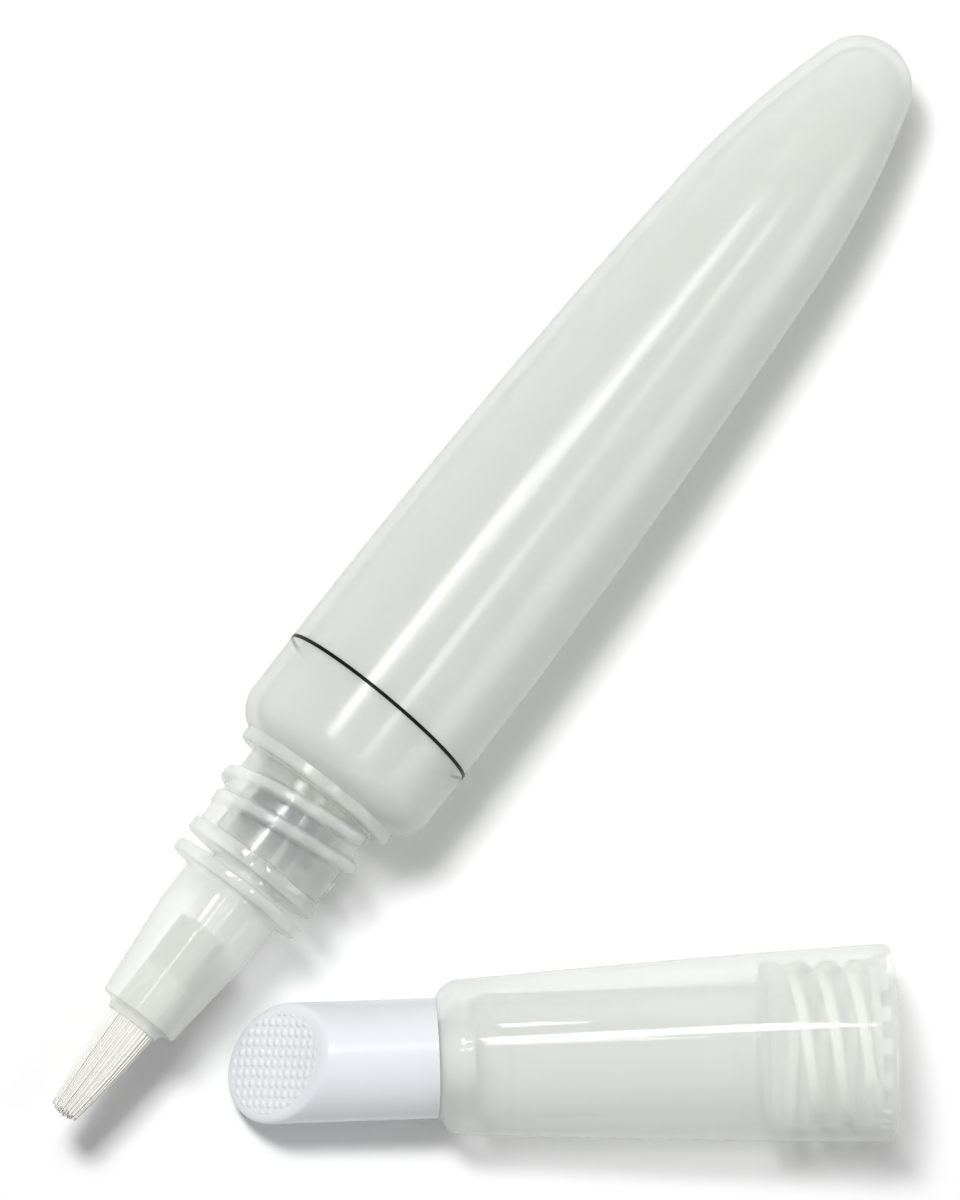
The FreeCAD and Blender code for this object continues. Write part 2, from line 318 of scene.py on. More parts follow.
print("ball at the tip", round(tip_radius, 2), "mm")


def side_height(along):
    """Radius of the barrel's side at a place along it."""
    return side_centre[1] + math.sqrt(SIDE_RADIUS ** 2 - (along - BELLY) ** 2)


def drop(inset, foot):
    """The barrel's outline from its closed end to the foot of its shoulder, moved inwards by a wall."""
    shoulder_centre = (shoulder_place, side_height(shoulder_place) - SHOULDER_ROUND)
    return (arc(tip_centre, 0, tip_radius - inset, 0, tip_join, TIP_STEPS)
            + arc(*nose_centre, NOSE_RADIUS - inset, tip_join, nose_end, SIDE_STEPS)[1:]
            + arc(*side_centre, SIDE_RADIUS - inset, nose_end, side_end, SIDE_STEPS)[1:]
            + arc(*shoulder_centre, SHOULDER_ROUND - inset, QUARTER_TURN, foot, SHOULDER_STEPS)[1:])


# %% Barrel skin
SAME = 0.01
BODY_CLOUD = 0.48
NECK_CLOUD = 0.13
RIDGE_CLOUD = 0.45


def neck_thread(along, out, angle):
    """Raise the thread on the outside of the neck."""
    if abs(out - NECK_RADIUS) > SAME:
        return along, out
    lift = thread_lift(along, angle, NECK_THREAD_BEGIN, NECK_THREAD_TURNS)
    return along, out + (CREST_RADIUS - NECK_RADIUS) * lift


def barrel_cloud(along, out, radius):
    """The thin neck is nearly clear and its ridges less so; the bead and the body are cloudy."""
    if along > NECK_LENGTH:
        return BODY_CLOUD
    return NECK_CLOUD + (RIDGE_CLOUD - NECK_CLOUD) * (radius - out) / (CREST_RADIUS - NECK_RADIUS)


outside = drop(0, HALF_TURN - math.degrees(shoulder_rise))
inside = drop(BARREL_WALL, SHOULDER_INSIDE)
neck = rounded([
    (*outside[-1], 0),
    (NECK_LENGTH, BEAD_RADIUS, ROOT_ROUND),
    (NECK_LENGTH, NECK_RADIUS, ROOT_ROUND),
    (0, NECK_RADIUS, EDGE_ROUND),
    (0, NECK_BORE, BORE_ROUND),
    (NECK_LENGTH + BEAD_WIDTH, NECK_BORE, FUNNEL_ROUND),
    (*inside[-1], 0),
], closed=False)
barrel_outline = outside[:-1] + divided(neck, FINE_STEP) + inside[-2::-1]
barrel = turned("squeeze_barrel_skin", barrel_outline, PEN, FINE_SEGMENTS,
                shape=neck_thread, cloud=barrel_cloud)
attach(barrel, "pen")
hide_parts("squeeze_barrel")

# %% [markdown]
# ## The printed ring
# A thin black line runs round the barrel near the shoulder. It is pad-printed ink, a few hundredths of a
# millimetre thick, so a narrow band that stands that much proud of the wall is a true model of it. The
# photograph shows it a little askew, as if the pad met the barrel at a slight angle.

# %% Printed ring
RING_PLACE = 15.6
RING_SKEW_SIDE = 0.035
RING_SKEW_UP = 0.03
RING_WIDTH = 0.3
INK_THICKNESS = 0.025


def askew(along, out, angle):
    """Lean the ring's plane out of square."""
    return along + out * (RING_SKEW_SIDE * math.cos(angle) + RING_SKEW_UP * math.sin(angle)), out


ring_start = RING_PLACE - RING_WIDTH / 2
ring_end = RING_PLACE + RING_WIDTH / 2
ink_inside = side_height(RING_PLACE) - INK_THICKNESS
ink_outside = side_height(RING_PLACE) + INK_THICKNESS
ring = turned("printed_ring", [
    (ring_start, ink_inside),
    (ring_start, ink_outside),
    (ring_end, ink_outside),
    (ring_end, ink_inside),
], PEN, FINE_SEGMENTS, closed=True, shape=askew)
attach(ring, "pen")

# %% [markdown]
# ## The brush nozzle
# An injection-moulded fitment in polypropylene. Its skirt is pushed into the neck, a collar seats on the
# neck's end, and behind the sealing flange a deep ring groove keeps the wall thin. The cone holds the
# brush, and its end draws up along the brush root in a hollow curve.

# %% Nozzle sizes
PLUG_LENGTH = 5.9
PLUG_WALL = 0.85
FIT = 0.02
COLLAR_RADIUS = 6.05
COLLAR = 1.18
GROOVE = 1.0
GROOVE_CORE = 3.1
FLANGE_RADIUS = 6.0
FLANGE = 1.0
NOZZLE_RADIUS = 4.3
NOZZLE_STRAIGHT = 3.7
CONE_LENGTH = 8.56
CONE_TIP_RADIUS = 3.42
BRUSH_BORE = 2.2
OIL_CHANNEL = 1.2
WEB = 0.4
LIP_DRAW = 0.8
LIP_WALL = 0.12
SKIRT_LEAD = 0.35
COLLAR_ROUND = 0.12
FLANGE_ROUND = 0.3
FLANGE_ROOT = 0.45
CONE_BLEND = 1.5
SEAT_ROUND = 0.1
SLACK = 0.01
LIP_LAND = 0.05
LONGEST_RUN = 1.0

# %% Nozzle skin
NOZZLE_CLOUD = 0.3
SKIRT_CLOUD = 0.05

groove_back = -(COLLAR + GROOVE)
flange_face = groove_back - FLANGE
brush_seat = flange_face - NOZZLE_STRAIGHT
nozzle_tip = brush_seat - CONE_LENGTH
plug = NECK_BORE - FIT
skirt = plug - PLUG_WALL
lip = BRUSH_BORE + LIP_WALL
groove_round = GROOVE / 2 - SLACK
nozzle_outline = rounded([
    (PLUG_LENGTH, skirt, BORE_ROUND),
    (PLUG_LENGTH, plug, SKIRT_LEAD),
    (0, plug, 0),
    (0, COLLAR_RADIUS, COLLAR_ROUND),
    (-COLLAR, COLLAR_RADIUS, EDGE_ROUND),
    (-COLLAR, GROOVE_CORE, groove_round),
    (groove_back, GROOVE_CORE, groove_round),
    (groove_back, FLANGE_RADIUS, EDGE_ROUND),
    (flange_face, FLANGE_RADIUS, FLANGE_ROUND),
    (flange_face, NOZZLE_RADIUS, FLANGE_ROOT),
    (brush_seat, NOZZLE_RADIUS, CONE_BLEND),
    (nozzle_tip, CONE_TIP_RADIUS, EDGE_ROUND),
    (nozzle_tip, lip, LIP_DRAW - LIP_LAND),
    (nozzle_tip - LIP_DRAW, lip, 0),
    (nozzle_tip - LIP_DRAW, BRUSH_BORE, 0),
    (brush_seat, BRUSH_BORE, SEAT_ROUND),
    (brush_seat, OIL_CHANNEL, SEAT_ROUND),
    (WEB, OIL_CHANNEL, SEAT_ROUND),
    (WEB, skirt, EDGE_ROUND),
])


def nozzle_cloud(along, out, radius):
    """The skirt inside the neck is thin and nearly clear."""
    return SKIRT_CLOUD if along > 0 else NOZZLE_CLOUD


nozzle = turned("brush_nozzle_skin", divided(nozzle_outline, LONGEST_RUN), PEN,
                closed=True, cloud=nozzle_cloud)
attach(nozzle, "pen")
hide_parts("brush_nozzle")

# %% [markdown]
# ## Inside the nozzle: flow reducer and ferrule
# A grey ribbed plug in the skirt lets only a drop of oil through at a time; it is the dark, streaked
# block that shows through the neck. A short clear sleeve grips the root of the brush.

# %% Flow reducer
REDUCER_PLACE = 1.84
REDUCER_LENGTH = 3.4
REDUCER_ORIFICE = 0.6
REDUCER_RIBS = 4
RIB_HEIGHT = 0.25
RIB_ROUND = 0.08
RIB_FOOT_ROUND = 0.05
RIB_RISE = 0.25
RIB_TOP = 0.65
RIB_FALL = 0.9
SMALL_STEPS = 3

crest = skirt - FIT
pitch = REDUCER_LENGTH / REDUCER_RIBS
reducer_outside = []
for rib in range(REDUCER_RIBS):
    foot = REDUCER_PLACE + rib * pitch
    reducer_outside += [
        (foot, crest - RIB_HEIGHT, RIB_ROUND),
        (foot + RIB_RISE * pitch, crest, RIB_ROUND),
        (foot + RIB_TOP * pitch, crest, RIB_ROUND),
        (foot + RIB_FALL * pitch, crest - RIB_HEIGHT, RIB_FOOT_ROUND),
    ]
reducer_end = REDUCER_PLACE + REDUCER_LENGTH
reducer = turned("flow_reducer_skin", rounded([
    (REDUCER_PLACE, REDUCER_ORIFICE, SEAT_ROUND),
    *reducer_outside,
    (reducer_end, crest - RIB_HEIGHT, RIB_FOOT_ROUND),
    (reducer_end, REDUCER_ORIFICE, SEAT_ROUND),
], steps=SMALL_STEPS), PEN, COARSE_SEGMENTS, closed=True)
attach(reducer, "pen")
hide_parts("flow_reducer")

# %% Ferrule
FERRULE_LENGTH = 4.5
FERRULE_WALL = 0.4

sleeve = BRUSH_BORE - FIT
sleeve_front = brush_seat - FERRULE_LENGTH
ferrule = turned("brush_ferrule_skin", rounded([
    (brush_seat, sleeve - FERRULE_WALL, RIB_FOOT_ROUND),
    (brush_seat, sleeve, BORE_ROUND),
    (sleeve_front, sleeve, BORE_ROUND),
    (sleeve_front, sleeve - FERRULE_WALL, RIB_FOOT_ROUND),
], steps=SMALL_STEPS), PEN, COARSE_SEGMENTS, closed=True)
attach(ferrule, "pen")
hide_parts("brush_ferrule")

# %% [markdown]
# ## The brush
# Several hundred nylon filaments, gripped at the root and drawn together towards a blunt, ragged tip.
# Hair curves would do for a picture, but each filament here is a thin closed tube in one mesh, so that
# the brush is still there in any other program. Filaments sit in the pattern of sunflower seeds, which
# fills a circle evenly.

# %% Shape of the bundle
# Real filaments are about half as thick as these, and would blur together at this size of picture.
FILAMENTS = 460
FILAMENT_RADIUS = 0.095
FILAMENT_SIDES = 5
FILAMENT_RINGS = 9
BRUSH_REACH = 10.0
BRUSH_TIP_RADIUS = 1.25
BRUSH_CLEARANCE = 0.05
RAGGED = 0.55
WANDER = 0.05
SWELL = 0.12
SPREAD_RUN = 1.0
CROWN = 0.35
END_TAPER = 0.55
OUTER_STIFFNESS = 0.6

grip = sleeve_front - BRUSH_CLEARANCE
grip_radius = sleeve - FERRULE_WALL - FIT
full_radius = BRUSH_BORE - BRUSH_CLEARANCE
brush_tip = nozzle_tip - BRUSH_REACH


def bundle_radius(along):
    """Radius of the whole bundle at a place along it."""
    if along > grip:
        return grip_radius
    if along > nozzle_tip - LIP_DRAW:
        rise = min(1.0, (grip - along) / SPREAD_RUN)
        return grip_radius + (full_radius - grip_radius) * smooth(rise)
    share = (along - brush_tip) / (nozzle_tip - LIP_DRAW - brush_tip)
    swell = SWELL * math.sin(math.pi * share)
    return BRUSH_TIP_RADIUS + (full_radius - BRUSH_TIP_RADIUS) * share + swell


# %% Filaments
SEED = 11
GOLDEN_ANGLE = math.pi * (3 - math.sqrt(5))
HALF_A_SEED = 0.5

random.seed(SEED)
points = []
faces = []
for number in range(FILAMENTS):
    spread = math.sqrt((number + HALF_A_SEED) / FILAMENTS)
    angle = number * GOLDEN_ANGLE
    end = brush_tip + RAGGED * random.random() + CROWN * spread * spread
    sway = (random.gauss(0, WANDER), random.gauss(0, WANDER))
    first = len(points)
    for ring_number in range(FILAMENT_RINGS):
        share = ring_number / (FILAMENT_RINGS - 1)
        along = brush_seat + (end - brush_seat) * share
        reach = (bundle_radius(along) - FILAMENT_RADIUS) * spread
        thick = FILAMENT_RADIUS * (1 - END_TAPER * share ** 3)
        loose = share ** 2 * (1 - OUTER_STIFFNESS * spread)
        middle_y = reach * math.cos(angle) + sway[0] * loose
        middle_z = reach * math.sin(angle) + sway[1] * loose
        for side in range(FILAMENT_SIDES):
            turn = math.tau * side / FILAMENT_SIDES + angle
            points.append((along, middle_y + thick * math.cos(turn), middle_z + thick * math.sin(turn)))
    for ring_number in range(FILAMENT_RINGS - 1):
        low = first + ring_number * FILAMENT_SIDES
        high = low + FILAMENT_SIDES
        for side in range(FILAMENT_SIDES):
            ahead = (side + 1) % FILAMENT_SIDES
            faces.append((low + side, low + ahead, high + ahead, high + side))
    faces.append(tuple(range(first, first + FILAMENT_SIDES)))
    faces.append(tuple(range(len(points) - FILAMENT_SIDES, len(points))))
brush = piece("bristles_bundle", points, faces, PEN)
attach(brush, "pen")
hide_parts("bristles")

# %% [markdown]
# ## The oil
# The liquid fills the barrel's hollow. Its outline is the barrel's own, moved in by the wall and a hair
# more, so that the two skins never touch and yet no gap shows between them.

# %% Oil
OIL_GAP = 0.03

oil_body = drop(BARREL_WALL + OIL_GAP, SHOULDER_INSIDE)
oil = turned("oil_body", oil_body + rounded([
    (NECK_LENGTH + BEAD_WIDTH, NECK_BORE - OIL_GAP, 0),
    (PLUG_LENGTH + OIL_GAP, NECK_BORE - OIL_GAP, EDGE_ROUND),
    (PLUG_LENGTH + OIL_GAP, 0, 0),
], closed=False), PEN)
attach(oil, "pen")
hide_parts("oil_fill")

# %% [markdown]
# ## The cap
# A tapered cup with a hint of a belly, moulded in the same uncoloured polypropylene as the nozzle. Behind
# its rim comes the thread for the neck, then a step that seals on the nozzle's flange, then room for the
# brush. Square notches round the inside of the rim let air out, and show faintly through the wall, like a
# battlement.

# %% Cap sizes
# In millimetres; places along the cap are negative, because they count back from its rim.
CAP_LENGTH = 36.5
CAP_MOUTH_RADIUS = 7.95
CAP_TAPER = 2.94
CAP_BELLY = 0.13
CAP_LIP = 0.7
CAP_END_ROUND = 2.08
CAP_SEGMENTS = 320
CAP_SIDE_DEPTHS = (2, 6, 11, 16, 21, 26, 31)
CAP_CORNER_STEPS = 8
STEM_ROUND = 0.05
ROOM_ROUND = 0.8
SEAL_LEAD = 0.6
SEAL_LEAD_ROUND = 0.5
SEAL_CLEARANCE = 0.05
NOTCH_MARGIN = 0.02
CAP_THREAD_BORE = 6.72
CAP_THREAD_CREST = 6.1
CAP_ROOM_RADIUS = 5.0
CAP_SEAL_STEP = 0.4
CAP_END_WALL = 3.0
CAP_THREAD_BEGIN = -8.7
CAP_THREAD_TURNS = 1.4
SEAL_DEPTH = NECK_LENGTH - flange_face + SEAL_CLEARANCE
NOTCHES = 16
NOTCH_DEPTH = 0.7
NOTCH_START = 0.6
NOTCH_RADIUS = 7.15
PUSHER_STEM = 3.0

cap_floor = CAP_LENGTH - CAP_END_WALL


# %% Side and bore of the cap
def cap_side(depth):
    """Radius of the cap's outside at a depth behind the rim, with its slight belly."""
    share = depth / CAP_LENGTH
    belly = 4 * CAP_BELLY * share * (1 - share)
    return CAP_MOUTH_RADIUS - depth * math.tan(math.radians(CAP_TAPER)) + belly


def cap_inside(along, out, angle):
    """Cut the thread and the notched step into the bore."""
    if abs(out - CAP_THREAD_BORE) > SAME:
        return along, out
    tooth = math.sin(angle * NOTCHES) > 0
    if -along < NOTCH_START + NOTCH_DEPTH * tooth:
        return along, NOTCH_RADIUS
    lift = thread_lift(along, angle, CAP_THREAD_BEGIN, CAP_THREAD_TURNS)
    return along, out - (CAP_THREAD_BORE - CAP_THREAD_CREST) * lift


# %% Cloudiness of the cap
CAP_CLOUD = 0.27
CAP_ROOM_CLOUD = 0.3
CAP_BORE_CLOUD = 0.36
CAP_END_CLOUD = 0.4
CAP_RIDGE_CLOUD = 0.9
RIM_CLOUD = 0.65
RIM_BAND = 2.0
NOTCH_CLOUD = 0.0


def cap_cloud(along, out, radius):
    """The thread's ridges and the thick closed end are cloudier than the side, the notches clearer."""
    if along < -cap_floor:
        return CAP_END_CLOUD
    if along < -SEAL_DEPTH and out < CAP_ROOM_RADIUS + CAP_SEAL_STEP:
        return CAP_ROOM_CLOUD
    if along < -SEAL_DEPTH or abs(out - CAP_THREAD_BORE) > SAME:
        return CAP_CLOUD
    if radius > out:
        return NOTCH_CLOUD
    if along > -RIM_BAND:
        return RIM_CLOUD
    ridge = (out - radius) / (CAP_THREAD_BORE - CAP_THREAD_CREST)
    return CAP_BORE_CLOUD + (CAP_RIDGE_CLOUD - CAP_BORE_CLOUD) * ridge


# %% Cap skin
bore_end = (-SEAL_DEPTH, CAP_THREAD_BORE)
cap_outline = rounded([
    (0, CAP_THREAD_BORE, 0),
    (0, NOTCH_RADIUS + NOTCH_MARGIN, 0),
    (0, CAP_MOUTH_RADIUS, CAP_LIP),
    *[(-depth, cap_side(depth), 0) for depth in CAP_SIDE_DEPTHS],
    (-CAP_LENGTH, cap_side(CAP_LENGTH), CAP_END_ROUND),
    (-CAP_LENGTH, PUSHER_STEM, STEM_ROUND),
    (-cap_floor, PUSHER_STEM, STEM_ROUND),
    (-cap_floor, CAP_ROOM_RADIUS, ROOM_ROUND),
    (-SEAL_DEPTH - SEAL_LEAD, CAP_ROOM_RADIUS, SEAL_LEAD_ROUND),
    (-SEAL_DEPTH, CAP_ROOM_RADIUS + CAP_SEAL_STEP, EDGE_ROUND),
    (*bore_end, 0),
], steps=CAP_CORNER_STEPS)
cap_outline += divided([bore_end, (-NOTCH_MARGIN, CAP_THREAD_BORE)], FINE_STEP)[1:]
cap = turned("cap_shell_skin", cap_outline, CAP, CAP_SEGMENTS,
             closed=True, shape=cap_inside, cloud=cap_cloud)
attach(cap, "cap")
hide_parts("cap_shell")

# %% [markdown]
# ## The cuticle pusher
# A soft white tip that was cut at a slant, so that it has an oval face to push with, and the face is
# studded. The slant is a shear: turning a plain rod and then pushing each point along the axis, more on
# one side than on the other, keeps one clean skin and leaves the studs to be raised on it afterwards.

# %% Pusher sizes and studs
PUSHER_RADIUS = 4.8
PUSHER_LENGTH = 16.7
PUSHER_SLANT = 51.6
PUSHER_EDGE = 0.7
STUD_SPACING = 0.82
STUD_RADIUS = 0.3
STUD_HEIGHT = 0.13
STUD_TURN = -14.0
STUD_FIELD = 0.82
FACE_RINGS = 90
EDGE_STEPS = 8
ON_FACE = 1e-4


def studs(along_face, across_face):
    """Height of the studded pattern at a place on the slanted face."""
    turn = math.radians(STUD_TURN)
    u = along_face * math.cos(turn) + across_face * math.sin(turn)
    v = across_face * math.cos(turn) - along_face * math.sin(turn)
    nearest = [round(place / STUD_SPACING) * STUD_SPACING for place in (u, v)]
    off = math.dist((u, v), nearest)
    return STUD_HEIGHT * math.sqrt(max(0.0, 1 - (off / STUD_RADIUS) ** 2))


# %% Pusher skin
pusher_foot = -CAP_LENGTH
pusher_tip = pusher_foot - PUSHER_LENGTH
pusher_edge = rounded([
    (pusher_foot, PUSHER_RADIUS, 0),
    (pusher_tip, PUSHER_RADIUS, PUSHER_EDGE),
    (pusher_tip, 0, 0),
], closed=False, steps=EDGE_STEPS)
flat = pusher_edge[-2][1]
face = [(pusher_tip, flat * (1 - ring_number / FACE_RINGS)) for ring_number in range(1, FACE_RINGS)]
pusher_outline = [
    (pusher_foot + CAP_END_WALL, 0),
    (pusher_foot + CAP_END_WALL, PUSHER_STEM - FIT),
    (pusher_foot, PUSHER_STEM - FIT),
]
pusher_outline += divided(pusher_edge[:2], LONGEST_RUN) + pusher_edge[2:-1] + face + [(pusher_tip, 0)]
pusher = turned("cuticle_pusher_skin", pusher_outline, Matrix.Identity(4), FINE_SEGMENTS)
slant = math.radians(PUSHER_SLANT)
slope = 1 / math.tan(slant)
normal = Vector((-math.sin(slant), 0, math.cos(slant)))
for corner in pusher.data.vertices:
    share = max(0.0, (pusher_foot - corner.co.x) / PUSHER_LENGTH)
    within = math.hypot(corner.co.y, corner.co.z) < STUD_FIELD * PUSHER_RADIUS
    on_face = within and corner.co.x < pusher_tip + ON_FACE
    bump = studs(corner.co.z / math.sin(slant), corner.co.y) if on_face else 0.0
    corner.co.x += share * (corner.co.z + PUSHER_RADIUS) * slope
    corner.co += normal * bump
pusher.data.transform(CAP)
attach(pusher, "cap")
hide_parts("cuticle_pusher")

# %% [markdown]
# ## Colours and nodes
# Colours are written as the hex values that one would pick on a screen, and one function turns them into
# the linear light that the renderer counts in. Another small function adds a node with its settings and
# links, so that each material below reads as a short list.

# %% Colours and nodes
BYTE = 255
SRGB_TOE = 0.04045
SRGB_TOE_SLOPE = 12.92
SRGB_OFFSET = 0.055
SRGB_POWER = 2.4


def linear(hex_colour):
    """An sRGB hex colour as linear RGBA."""
    parts = [int(hex_colour[at:at + 2], 16) / BYTE for at in (1, 3, 5)]
    light = [part / SRGB_TOE_SLOPE if part <= SRGB_TOE
             else ((part + SRGB_OFFSET) / (1 + SRGB_OFFSET)) ** SRGB_POWER for part in parts]
    return (*light, 1)


def add_node(tree, kind, values=None, links=None, **settings):
    """Add a node, with its settings, its socket values and the sockets that feed it."""
    made = tree.nodes.new(kind)
    for key, value in settings.items():
        setattr(made, key, value)
    for socket, value in (values or {}).items():
        made.inputs[socket].default_value = value
    for socket, source in (links or {}).items():
        tree.links.new(source, made.inputs[socket])
    return made


# %% [markdown]
# ## Moulded plastic
# One recipe serves every piece: two close tones that drift into each other over some millimetres, and a
# skin with a few thousandths of a millimetre of relief, which breaks the edges of reflections a little.
# Uncoloured plastic needs three things more. Light spreads inside it, which is what subsurface scattering
# does. It is partly seen through, so its opacity is the cloudiness that the lathe stored at each point;
# glass that bends light would also do, but takes many more bounces to come out clean in nested walls. And
# its gloss lies on top of both: a mirror that is mixed in, more at a grazing angle, so that a clear wall
# shines as much as a cloudy one.


# %% Recipe for moulded plastic
MOTTLE_DETAIL = 3.0
GRAIN_DETAIL = 2.0
GLOSS_POWER = 5.0
GLOSS_HEAD_ON = 0.04
GLOSS_GRAZING = 0.4


def moulded(name, tones, mottle_mm, grain_mm, grain_depth_mm, surface, polish=0.0):
    """A material from two tones, the sizes of its mottle and grain, and values for the shader."""
    material = bpy.data.materials.new(name)
    material.use_nodes = True
    tree = material.node_tree
    tree.nodes.clear()
    place = add_node(tree, "ShaderNodeTexCoord")
    drift = add_node(tree, "ShaderNodeTexNoise", {"Scale": 1 / (mottle_mm * MM), "Detail": MOTTLE_DETAIL},
                     {"Vector": place.outputs["Object"]})
    tone = add_node(tree, "ShaderNodeMix", {6: linear(tones[0]), 7: linear(tones[1])},
                    {0: drift.outputs["Fac"]}, data_type="RGBA")
    skin = add_node(tree, "ShaderNodeTexNoise", {"Scale": 1 / (grain_mm * MM), "Detail": GRAIN_DETAIL},
                    {"Vector": place.outputs["Object"]})
    bump = add_node(tree, "ShaderNodeBump", {"Distance": grain_depth_mm * MM, "Strength": 1.0},
                    {"Height": skin.outputs["Fac"]})
    shader = add_node(tree, "ShaderNodeBsdfPrincipled", surface,
                      {"Base Color": tone.outputs[2], "Normal": bump.outputs["Normal"]})
    result = glazed(tree, shader, bump, polish) if polish else shader
    add_node(tree, "ShaderNodeOutputMaterial", links={"Surface": result.outputs[0]})
    return material


def glazed(tree, shader, bump, polish):
    """Let a shader be seen through by its cloudiness, under a gloss of its own."""
    cloud = add_node(tree, "ShaderNodeAttribute", attribute_name="cloud")
    tree.links.new(cloud.outputs["Fac"], shader.inputs["Alpha"])
    normal = bump.outputs["Normal"]
    mirror = add_node(tree, "ShaderNodeBsdfGlossy", {"Roughness": polish}, {"Normal": normal})
    facing = add_node(tree, "ShaderNodeLayerWeight", {"Blend": 0.5}, {"Normal": normal})
    steep = add_node(tree, "ShaderNodeMath", {1: GLOSS_POWER}, {0: facing.outputs["Facing"]},
                     operation="POWER")
    share = add_node(tree, "ShaderNodeMapRange", {"To Min": GLOSS_HEAD_ON, "To Max": GLOSS_GRAZING},
                     {"Value": steep.outputs[0]})
    return add_node(tree, "ShaderNodeMixShader",
                    links={0: share.outputs[0], 1: shader.outputs[0], 2: mirror.outputs[0]})


def finish_with(thing, material):
    """Give a piece its one material."""
    thing.data.materials.clear()
    thing.data.materials.append(material)


# %% [markdown]
# ## One material for each plastic
# The two uncoloured plastics differ in how far light runs inside them and in how sharp their gloss is.
# The others are plain recipes with a colour and a roughness.

# %% Materials
# Milky and soft: light glows through the whole body, and its highlights have soft edges.
polyethylene = moulded(
    "natural_ldpe_blow_moulded", ("#F5FAF1", "#EFF5EB"), mottle_mm=9.0, grain_mm=2.5, grain_depth_mm=0.004,
    surface={"Roughness": 0.3, "IOR": 1.51, "Specular IOR Level": 0.0, "Subsurface Weight": 1.0,
             "Subsurface Radius": (1.0, 1.0, 0.95), "Subsurface Scale": 0.0025}, polish=0.2)
# Frosted but crisp: what lies inside still shows, and its highlights are narrow and bright.
polypropylene = moulded(
    "natural_polypropylene_moulded", ("#F5F8F2", "#F0F3ED"),
    mottle_mm=7.0, grain_mm=1.5, grain_depth_mm=0.003,
    surface={"Roughness": 0.3, "IOR": 1.49, "Specular IOR Level": 0.0, "Subsurface Weight": 0.4,
             "Subsurface Radius": (1.0, 1.0, 0.96), "Subsurface Scale": 0.0002}, polish=0.05)
# The one dark thing in the neck, a bluish grey that the milky walls in front of it wash out.
grey_plug = moulded(
    "grey_polyethylene_moulded", ("#3A4266", "#1E2340"), mottle_mm=1.5, grain_mm=0.4, grain_depth_mm=0.004,
    surface={"Roughness": 0.35, "IOR": 1.51})
# Hardly there: a faint shade round the root of the brush, inside the cone.
clear_sleeve = moulded(
    "clear_styrene_sleeve", ("#FAFCF8", "#F5F8F2"), mottle_mm=3.0, grain_mm=1.0, grain_depth_mm=0.001,
    surface={"Roughness": 0.12, "IOR": 1.57, "Alpha": 0.2})
# Warm white threads with fine shadows between them.
nylon = moulded(
    "white_nylon_filament", ("#F3F3EE", "#ECECE5"), mottle_mm=0.5, grain_mm=0.2, grain_depth_mm=0.002,
    surface={"Roughness": 0.4, "IOR": 1.53})
# Nearly clear: it only softens the view through the barrel.
oil_liquid = moulded(
    "clear_nail_oil", ("#FBFAF2", "#F8F6EA"), mottle_mm=20.0, grain_mm=20.0, grain_depth_mm=0.0005,
    surface={"Roughness": 0.02, "IOR": 1.47, "Alpha": 0.08})
# A solid, cool white beside the greenish plastics, with a satin sheen.
elastomer = moulded(
    "white_elastomer_moulded", ("#E3E6EA", "#DEE1E5"), mottle_mm=5.0, grain_mm=0.3, grain_depth_mm=0.004,
    surface={"Roughness": 0.27, "IOR": 1.5})
# A thin dead-black line, with too little gloss to turn grey.
ink = moulded(
    "black_pad_print_ink", ("#060606", "#0A0A0A"), mottle_mm=1.0, grain_mm=0.3, grain_depth_mm=0.001,
    surface={"Roughness": 0.4, "IOR": 1.5, "Specular IOR Level": 0.1})

FINISHES = (
    (barrel, polyethylene),
    (ring, ink),
    (nozzle, polypropylene),
    (reducer, grey_plug),
    (ferrule, clear_sleeve),
    (brush, nylon),
    (oil, oil_liquid),
    (cap, polypropylene),
    (pusher, elastomer),
)
for thing, material in FINISHES:
    finish_with(thing, material)
    print(thing.name, "is", material.name)

# %% [markdown]
# ## The floor
# A sheet of white paper. It adds a little glow of its own for rays from the camera, and for rays that
# came through or off the plastic. Its own white is chosen so that lit paper only just reaches full white:
# a whiter sheet would look the same where it is lit, and wash out the shadows.

# %% Floor
FLOOR_HALF = 2.0
FLOOR_WHITE = 0.9
FLOOR_GLOW = 0.03
FLOOR_CORNERS = ((-1, -1), (1, -1), (1, 1), (-1, 1))

floor_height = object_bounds()[0].z
mesh = bpy.data.meshes.new("floor")
corners = [(x * FLOOR_HALF, y * FLOOR_HALF, floor_height) for x, y in FLOOR_CORNERS]
mesh.from_pydata(corners, [], [(0, 1, 2, 3)])
floor = bpy.data.objects.new("floor", mesh)
bpy.context.scene.collection.objects.link(floor)
paper = bpy.data.materials.new("white_paper")
paper.use_nodes = True
tree = paper.node_tree
tree.nodes.clear()
path = add_node(tree, "ShaderNodeLightPath")
either = add_node(tree, "ShaderNodeMath", operation="MAXIMUM",
                  links={0: path.outputs["Is Camera Ray"], 1: path.outputs["Is Glossy Ray"]})
seen = add_node(tree, "ShaderNodeMath", operation="MAXIMUM",
                links={0: either.outputs[0], 1: path.outputs["Is Transmission Ray"]})
level = add_node(tree, "ShaderNodeMath", {1: FLOOR_GLOW}, {0: seen.outputs[0]}, operation="MULTIPLY")
sheet = add_node(tree, "ShaderNodeBsdfDiffuse", {"Color": (FLOOR_WHITE, FLOOR_WHITE, FLOOR_WHITE, 1)})
glow = add_node(tree, "ShaderNodeEmission", links={"Strength": level.outputs[0]})
both = add_node(tree, "ShaderNodeAddShader", links={0: sheet.outputs[0], 1: glow.outputs[0]})
add_node(tree, "ShaderNodeOutputMaterial", links={"Surface": both.outputs[0]})
finish_with(floor, paper)
print("floor at", floor_height)

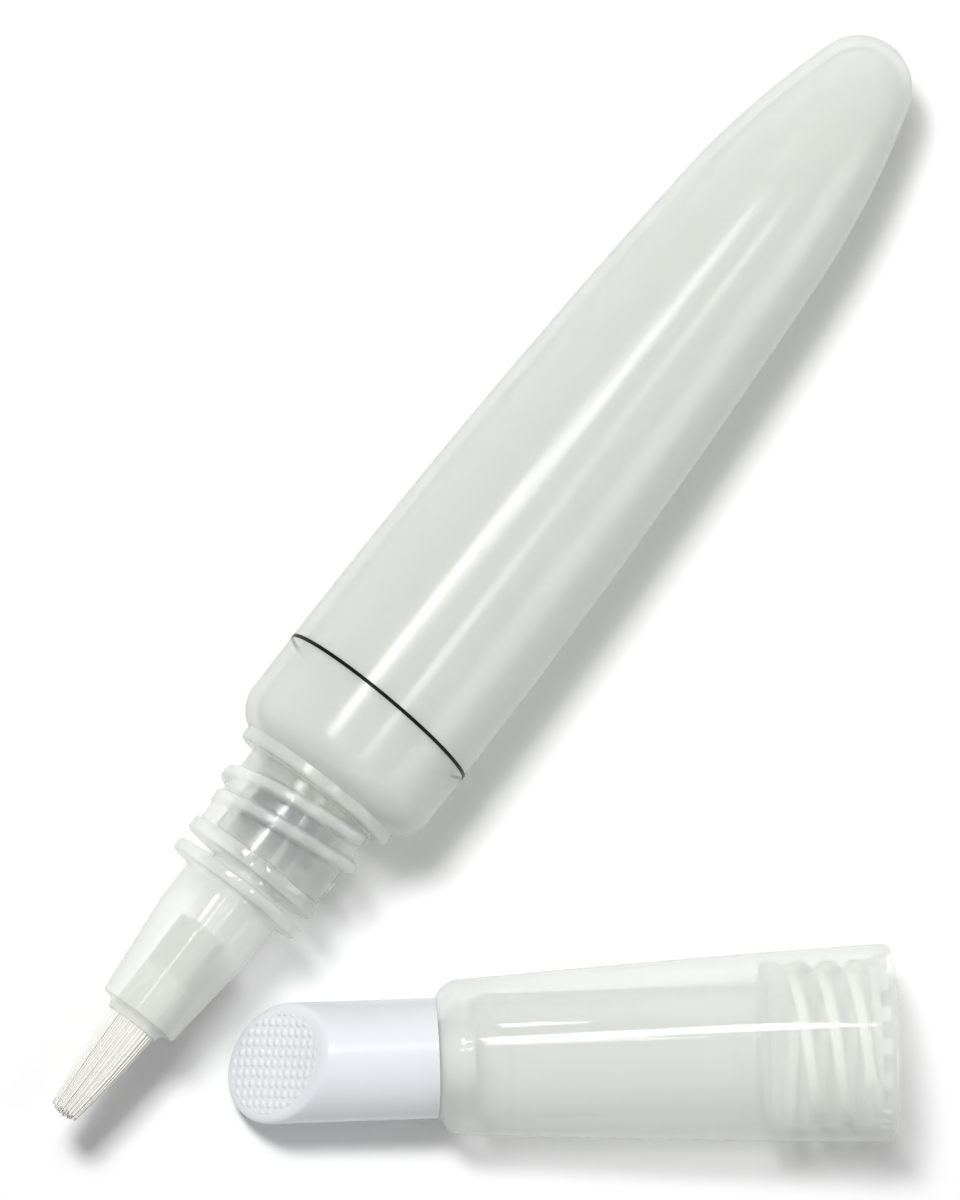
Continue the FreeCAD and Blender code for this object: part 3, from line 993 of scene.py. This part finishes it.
# %% [markdown]
# ## Lamps
# The key lamp, high on the upper left, does most of the work and casts the shadows. It is kept out of
# reflections, because it stands where the shadows need it, and its own strip would fall beside the right
# ones. Small windows draw the narrow bright strips instead, each placed where the wall that it shines on
# mirrors it into the camera. A wide, dim lamp low on the right fills the shadow side.

# %% Lamps
LAMP_DISTANCE = 1.0


def lamp(name, towards, size, watts):
    """A soft rectangular lamp at a fixed distance in a direction, aimed at the middle of the scene."""
    light = bpy.data.lights.new(name, "AREA")
    light.shape = "RECTANGLE"
    light.size, light.size_y = size
    light.energy = watts
    thing = bpy.data.objects.new(name, light)
    thing.location = Vector(towards).normalized() * LAMP_DISTANCE
    thing.rotation_euler = Vector(towards).to_track_quat("Z", "Y").to_euler()
    bpy.context.scene.collection.objects.link(thing)
    return thing


key = lamp("key", towards=(-0.24, 0.3, 0.92), size=(0.17, 0.17), watts=6.2)
key.visible_glossy = False
lamp("barrel_window", towards=(-0.277, 0.374, 0.885), size=(0.15, 0.15), watts=1.4)
lamp("cap_window", towards=(-0.079, 0.381, 0.92), size=(0.15, 0.15), watts=0.9)
lamp("opposite_window", towards=(0.279, -0.091, 0.957), size=(0.09, 0.09), watts=0.4)
lamp("nose_window", towards=(0.369, 0.089, 0.925), size=(0.08, 0.08), watts=0.25)
lamp("cap_end_window", towards=(-0.08, 0.685, 0.727), size=(0.03, 0.1), watts=0.13)
lamp("side_fill", towards=(0.86, -0.34, 0.38), size=(0.5, 0.5), watts=1.9)
print("lamps", len(bpy.data.lights))

# %% [markdown]
# ## The surround
# A dim, even grey lights what the lamps leave. To the camera and in reflections it is white, as a white
# tent round the table would be, so the picture ends in white and the gloss never mirrors a dark room.

# %% World
WORLD_LIGHT = 0.18
WORLD_SEEN = 1.0

world = bpy.data.worlds.new("world")
bpy.context.scene.world = world
world.use_nodes = True
tree = world.node_tree
tree.nodes.clear()
path = add_node(tree, "ShaderNodeLightPath")
seen = add_node(tree, "ShaderNodeMath", operation="MAXIMUM",
                links={0: path.outputs["Is Camera Ray"], 1: path.outputs["Is Glossy Ray"]})
level = add_node(tree, "ShaderNodeMapRange", {"To Min": WORLD_LIGHT, "To Max": WORLD_SEEN},
                 {"Value": seen.outputs[0]})
sky = add_node(tree, "ShaderNodeBackground", {"Color": (1, 1, 1, 1)}, {"Strength": level.outputs[0]})
add_node(tree, "ShaderNodeOutputWorld", links={"Surface": sky.outputs[0]})
bpy.context.scene.view_settings.view_transform = "Standard"
